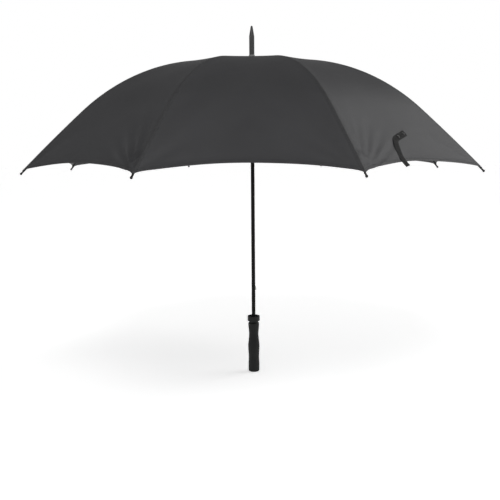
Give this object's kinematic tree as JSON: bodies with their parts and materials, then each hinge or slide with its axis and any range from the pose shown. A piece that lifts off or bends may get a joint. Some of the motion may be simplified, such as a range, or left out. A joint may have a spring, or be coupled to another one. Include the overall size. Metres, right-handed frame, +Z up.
{
  "type": "golf umbrella",
  "caption": "Open golf umbrella with a scalloped ribbed canopy on a straight shaft, a sliding runner, a long pointed ferrule and a straight contoured handle.",
  "frame": {"origin": "centre of the handle's flat end", "axes": "+Z up the shaft towards the ferrule; +X the side on which the runner catches spring out"},
  "size_m": [1.2106, 1.2106, 1.015],
  "materials": {
    "cloth": "matt woven polyester",
    "rib_glass": "satin glass-fibre rod",
    "stretcher_plastic": "satin moulded channel",
    "moulded_plastic": "satin moulded plastic",
    "tip_plastic": "smooth moulded plastic",
    "grip_foam": "fine leather-grained soft grip",
    "strap_cloth": "plain woven tape",
    "shaft_paint": "satin black paint",
    "ferrule_plastic": "semi-gloss moulded plastic",
    "ring_metal": "satin grey paint",
    "catch_steel": "plain spring steel",
    "snap_metal": "black lacquer"
  },
  "bodies": {
    "shaft_and_handle": {"shaft": "shaft_paint", "crown": "moulded_plastic", "ferrule": "ferrule_plastic", "ferrule_ring": "ring_metal", "handle_core": "moulded_plastic", "handle_grip": "grip_foam", "end_cap": "moulded_plastic"},
    "rib_1_root": {"rib_1_inner": "rib_glass", "canopy_1": "cloth"},
    "rib_1_mid": {"rib_1_middle": "rib_glass"},
    "rib_1_end": {"rib_1_outer": "rib_glass", "tip_1": "tip_plastic"},
    "stretcher_1_arm": {"stretcher_1": "stretcher_plastic"},
    "rib_2_root": {"rib_2_inner": "rib_glass", "canopy_2": "cloth"},
    "rib_2_mid": {"rib_2_middle": "rib_glass"},
    "rib_2_end": {"rib_2_outer": "rib_glass", "tip_2": "tip_plastic"},
    "stretcher_2_arm": {"stretcher_2": "stretcher_plastic"},
    "rib_3_root": {"rib_3_inner": "rib_glass", "canopy_3": "cloth"},
    "rib_3_mid": {"rib_3_middle": "rib_glass"},
    "rib_3_end": {"rib_3_outer": "rib_glass", "tip_3": "tip_plastic"},
    "stretcher_3_arm": {"stretcher_3": "stretcher_plastic"},
    "rib_4_root": {"rib_4_inner": "rib_glass", "canopy_4": "cloth"},
    "rib_4_mid": {"rib_4_middle": "rib_glass"},
    "rib_4_end": {"rib_4_outer": "rib_glass", "tip_4": "tip_plastic"},
    "stretcher_4_arm": {"stretcher_4": "stretcher_plastic"},
    "rib_5_root": {"rib_5_inner": "rib_glass", "canopy_5": "cloth"},
    "rib_5_mid": {"rib_5_middle": "rib_glass"},
    "rib_5_end": {"rib_5_outer": "rib_glass", "tip_5": "tip_plastic"},
    "stretcher_5_arm": {"stretcher_5": "stretcher_plastic"},
    "rib_6_root": {"rib_6_inner": "rib_glass", "canopy_6": "cloth"},
    "rib_6_mid": {"rib_6_middle": "rib_glass"},
    "rib_6_end": {"rib_6_outer": "rib_glass", "tip_6": "tip_plastic"},
    "stretcher_6_arm": {"stretcher_6": "stretcher_plastic"},
    "rib_7_root": {"rib_7_inner": "rib_glass", "canopy_7": "cloth"},
    "rib_7_mid": {"rib_7_middle": "rib_glass"},
    "rib_7_end": {"rib_7_outer": "rib_glass", "tip_7": "tip_plastic"},
    "stretcher_7_arm": {"stretcher_7": "stretcher_plastic"},
    "rib_8_root": {"rib_8_inner": "rib_glass", "canopy_8": "cloth"},
    "rib_8_mid": {"rib_8_middle": "rib_glass"},
    "rib_8_end": {"rib_8_outer": "rib_glass", "tip_8": "tip_plastic"},
    "stretcher_8_arm": {"stretcher_8": "stretcher_plastic"},
    "runner_slide": {"runner": "moulded_plastic"},
    "strap": {"tie_strap": "strap_cloth", "strap_snap": "snap_metal"},
    "upper_catch_press_lever": {"upper_catch": "catch_steel"},
    "lower_catch_press_lever": {"lower_catch": "catch_steel"}
  },
  "joints": [
    {"name": "canopy_fold", "type": "hinge", "parent": "shaft_and_handle", "child": "rib_1_root", "pos_m": [0.00402, -0.0097, 0.903], "axis": [0.9239, 0.3827, 0], "range_deg": [0, 88], "deforming": ["canopy_1"]},
    {"name": "rib_1_lower_flex", "type": "hinge", "parent": "rib_1_root", "child": "rib_1_mid", "pos_m": [0.08784, -0.21205, 0.89457], "axis": [0.9239, 0.3827, 0], "range_deg": [-24.66, 0]},
    {"name": "rib_1_upper_flex", "type": "hinge", "parent": "rib_1_mid", "child": "rib_1_end", "pos_m": [0.16109, -0.3889, 0.81167], "axis": [0.9239, 0.3827, 0], "range_deg": [-15.53, 0]},
    {"name": "stretcher_1_hinge", "type": "hinge", "parent": "rib_1_mid", "child": "stretcher_1_arm", "pos_m": [0.13287, -0.32077, 0.84236], "axis": [0.9239, 0.3827, 0], "range_deg": [-144.16, 0]},
    {"name": "rib_2_crown_hinge", "type": "hinge", "parent": "shaft_and_handle", "child": "rib_2_root", "pos_m": [0.0097, -0.00402, 0.903], "axis": [0.3827, 0.9239, 0], "range_deg": [0, 88], "deforming": ["canopy_2"]},
    {"name": "rib_2_lower_flex", "type": "hinge", "parent": "rib_2_root", "child": "rib_2_mid", "pos_m": [0.21205, -0.08784, 0.89457], "axis": [0.3827, 0.9239, 0], "range_deg": [-24.66, 0]},
    {"name": "rib_2_upper_flex", "type": "hinge", "parent": "rib_2_mid", "child": "rib_2_end", "pos_m": [0.3889, -0.16109, 0.81167], "axis": [0.3827, 0.9239, 0], "range_deg": [-15.53, 0]},
    {"name": "stretcher_2_hinge", "type": "hinge", "parent": "rib_2_mid", "child": "stretcher_2_arm", "pos_m": [0.32077, -0.13287, 0.84236], "axis": [0.3827, 0.9239, 0], "range_deg": [-144.16, 0]},
    {"name": "rib_3_crown_hinge", "type": "hinge", "parent": "shaft_and_handle", "child": "rib_3_root", "pos_m": [0.0097, 0.00402, 0.903], "axis": [-0.3827, 0.9239, 0], "range_deg": [0, 88], "deforming": ["canopy_3"]},
    {"name": "rib_3_lower_flex", "type": "hinge", "parent": "rib_3_root", "child": "rib_3_mid", "pos_m": [0.21205, 0.08784, 0.89457], "axis": [-0.3827, 0.9239, 0], "range_deg": [-24.66, 0]},
    {"name": "rib_3_upper_flex", "type": "hinge", "parent": "rib_3_mid", "child": "rib_3_end", "pos_m": [0.3889, 0.16109, 0.81167], "axis": [-0.3827, 0.9239, 0], "range_deg": [-15.53, 0]},
    {"name": "stretcher_3_hinge", "type": "hinge", "parent": "rib_3_mid", "child": "stretcher_3_arm", "pos_m": [0.32077, 0.13287, 0.84236], "axis": [-0.3827, 0.9239, 0], "range_deg": [-144.16, 0]},
    {"name": "rib_4_crown_hinge", "type": "hinge", "parent": "shaft_and_handle", "child": "rib_4_root", "pos_m": [0.00402, 0.0097, 0.903], "axis": [-0.9239, 0.3827, 0], "range_deg": [0, 88], "deforming": ["canopy_4"]},
    {"name": "rib_4_lower_flex", "type": "hinge", "parent": "rib_4_root", "child": "rib_4_mid", "pos_m": [0.08784, 0.21205, 0.89457], "axis": [-0.9239, 0.3827, 0], "range_deg": [-24.66, 0]},
    {"name": "rib_4_upper_flex", "type": "hinge", "parent": "rib_4_mid", "child": "rib_4_end", "pos_m": [0.16109, 0.3889, 0.81167], "axis": [-0.9239, 0.3827, 0], "range_deg": [-15.53, 0]},
    {"name": "stretcher_4_hinge", "type": "hinge", "parent": "rib_4_mid", "child": "stretcher_4_arm", "pos_m": [0.13287, 0.32077, 0.84236], "axis": [-0.9239, 0.3827, 0], "range_deg": [-144.16, 0]},
    {"name": "rib_5_crown_hinge", "type": "hinge", "parent": "shaft_and_handle", "child": "rib_5_root", "pos_m": [-0.00402, 0.0097, 0.903], "axis": [-0.9239, -0.3827, 0], "range_deg": [0, 88], "deforming": ["canopy_5"]},
    {"name": "rib_5_lower_flex", "type": "hinge", "parent": "rib_5_root", "child": "rib_5_mid", "pos_m": [-0.08784, 0.21205, 0.89457], "axis": [-0.9239, -0.3827, 0], "range_deg": [-24.66, 0]},
    {"name": "rib_5_upper_flex", "type": "hinge", "parent": "rib_5_mid", "child": "rib_5_end", "pos_m": [-0.16109, 0.3889, 0.81167], "axis": [-0.9239, -0.3827, 0], "range_deg": [-15.53, 0]},
    {"name": "stretcher_5_hinge", "type": "hinge", "parent": "rib_5_mid", "child": "stretcher_5_arm", "pos_m": [-0.13287, 0.32077, 0.84236], "axis": [-0.9239, -0.3827, 0], "range_deg": [-144.16, 0]},
    {"name": "rib_6_crown_hinge", "type": "hinge", "parent": "shaft_and_handle", "child": "rib_6_root", "pos_m": [-0.0097, 0.00402, 0.903], "axis": [-0.3827, -0.9239, 0], "range_deg": [0, 88], "deforming": ["canopy_6"]},
    {"name": "rib_6_lower_flex", "type": "hinge", "parent": "rib_6_root", "child": "rib_6_mid", "pos_m": [-0.21205, 0.08784, 0.89457], "axis": [-0.3827, -0.9239, 0], "range_deg": [-24.66, 0]},
    {"name": "rib_6_upper_flex", "type": "hinge", "parent": "rib_6_mid", "child": "rib_6_end", "pos_m": [-0.3889, 0.16109, 0.81167], "axis": [-0.3827, -0.9239, 0], "range_deg": [-15.53, 0]},
    {"name": "stretcher_6_hinge", "type": "hinge", "parent": "rib_6_mid", "child": "stretcher_6_arm", "pos_m": [-0.32077, 0.13287, 0.84236], "axis": [-0.3827, -0.9239, 0], "range_deg": [-144.16, 0]},
    {"name": "rib_7_crown_hinge", "type": "hinge", "parent": "shaft_and_handle", "child": "rib_7_root", "pos_m": [-0.0097, -0.00402, 0.903], "axis": [0.3827, -0.9239, 0], "range_deg": [0, 88], "deforming": ["canopy_7"]},
    {"name": "rib_7_lower_flex", "type": "hinge", "parent": "rib_7_root", "child": "rib_7_mid", "pos_m": [-0.21205, -0.08784, 0.89457], "axis": [0.3827, -0.9239, 0], "range_deg": [-24.66, 0]},
    {"name": "rib_7_upper_flex", "type": "hinge", "parent": "rib_7_mid", "child": "rib_7_end", "pos_m": [-0.3889, -0.16109, 0.81167], "axis": [0.3827, -0.9239, 0], "range_deg": [-15.53, 0]},
    {"name": "stretcher_7_hinge", "type": "hinge", "parent": "rib_7_mid", "child": "stretcher_7_arm", "pos_m": [-0.32077, -0.13287, 0.84236], "axis": [0.3827, -0.9239, 0], "range_deg": [-144.16, 0]},
    {"name": "rib_8_crown_hinge", "type": "hinge", "parent": "shaft_and_handle", "child": "rib_8_root", "pos_m": [-0.00402, -0.0097, 0.903], "axis": [0.9239, -0.3827, 0], "range_deg": [0, 88], "deforming": ["canopy_8"]},
    {"name": "rib_8_lower_flex", "type": "hinge", "parent": "rib_8_root", "child": "rib_8_mid", "pos_m": [-0.08784, -0.21205, 0.89457], "axis": [0.9239, -0.3827, 0], "range_deg": [-24.66, 0]},
    {"name": "rib_8_upper_flex", "type": "hinge", "parent": "rib_8_mid", "child": "rib_8_end", "pos_m": [-0.16109, -0.3889, 0.81167], "axis": [0.9239, -0.3827, 0], "range_deg": [-15.53, 0]},
    {"name": "stretcher_8_hinge", "type": "hinge", "parent": "rib_8_mid", "child": "stretcher_8_arm", "pos_m": [-0.13287, -0.32077, 0.84236], "axis": [0.9239, -0.3827, 0], "range_deg": [-144.16, 0]},
    {"name": "runner_hinge", "type": "hinge", "parent": "stretcher_1_arm", "child": "runner_slide", "pos_m": [0.00402, -0.0097, 0.79264], "axis": [0.9239, 0.3827, 0], "range_deg": [0, 80.77]},
    {"name": "strap_gather", "type": "slide", "parent": "rib_1_end", "child": "strap", "axis": [-0.7992, -0.5598, 0.2189], "range_m": [0, 0.1725], "deforming": ["tie_strap"]},
    {"name": "upper_catch_press", "type": "hinge", "parent": "shaft_and_handle", "child": "upper_catch_press_lever", "pos_m": [0, 0, 0.7206], "axis": [0, -1, 0], "range_deg": [0, 5.4], "stiffness_Nm_per_rad": 1.4, "springref_deg": -1.72},
    {"name": "lower_catch_press", "type": "hinge", "parent": "shaft_and_handle", "child": "lower_catch_press_lever", "pos_m": [0, 0, 0.275], "axis": [0, 1, 0], "range_deg": [0, 5.4], "stiffness_Nm_per_rad": 1.4, "springref_deg": -1.72}
  ],
  "couplings": [
    {"joint": "rib_1_lower_flex", "follows": "canopy_fold", "ratio": -0.27963},
    {"joint": "rib_1_upper_flex", "follows": "canopy_fold", "ratio": -0.17596},
    {"joint": "stretcher_1_hinge", "follows": "canopy_fold", "ratio": -1.6377},
    {"joint": "rib_2_crown_hinge", "follows": "canopy_fold", "ratio": 1},
    {"joint": "rib_2_lower_flex", "follows": "canopy_fold", "ratio": -0.27963},
    {"joint": "rib_2_upper_flex", "follows": "canopy_fold", "ratio": -0.17596},
    {"joint": "stretcher_2_hinge", "follows": "canopy_fold", "ratio": -1.6377},
    {"joint": "rib_3_crown_hinge", "follows": "canopy_fold", "ratio": 1},
    {"joint": "rib_3_lower_flex", "follows": "canopy_fold", "ratio": -0.27963},
    {"joint": "rib_3_upper_flex", "follows": "canopy_fold", "ratio": -0.17596},
    {"joint": "stretcher_3_hinge", "follows": "canopy_fold", "ratio": -1.6377},
    {"joint": "rib_4_crown_hinge", "follows": "canopy_fold", "ratio": 1},
    {"joint": "rib_4_lower_flex", "follows": "canopy_fold", "ratio": -0.27963},
    {"joint": "rib_4_upper_flex", "follows": "canopy_fold", "ratio": -0.17596},
    {"joint": "stretcher_4_hinge", "follows": "canopy_fold", "ratio": -1.6377},
    {"joint": "rib_5_crown_hinge", "follows": "canopy_fold", "ratio": 1},
    {"joint": "rib_5_lower_flex", "follows": "canopy_fold", "ratio": -0.27963},
    {"joint": "rib_5_upper_flex", "follows": "canopy_fold", "ratio": -0.17596},
    {"joint": "stretcher_5_hinge", "follows": "canopy_fold", "ratio": -1.6377},
    {"joint": "rib_6_crown_hinge", "follows": "canopy_fold", "ratio": 1},
    {"joint": "rib_6_lower_flex", "follows": "canopy_fold", "ratio": -0.27963},
    {"joint": "rib_6_upper_flex", "follows": "canopy_fold", "ratio": -0.17596},
    {"joint": "stretcher_6_hinge", "follows": "canopy_fold", "ratio": -1.6377},
    {"joint": "rib_7_crown_hinge", "follows": "canopy_fold", "ratio": 1},
    {"joint": "rib_7_lower_flex", "follows": "canopy_fold", "ratio": -0.27963},
    {"joint": "rib_7_upper_flex", "follows": "canopy_fold", "ratio": -0.17596},
    {"joint": "stretcher_7_hinge", "follows": "canopy_fold", "ratio": -1.6377},
    {"joint": "rib_8_crown_hinge", "follows": "canopy_fold", "ratio": 1},
    {"joint": "rib_8_lower_flex", "follows": "canopy_fold", "ratio": -0.27963},
    {"joint": "rib_8_upper_flex", "follows": "canopy_fold", "ratio": -0.17596},
    {"joint": "stretcher_8_hinge", "follows": "canopy_fold", "ratio": -1.6377},
    {"joint": "runner_hinge", "follows": "canopy_fold", "ratio": 0.91728},
    {"joint": "strap_gather", "follows": "canopy_fold", "m_per_rad": 0.11199}
  ]
}
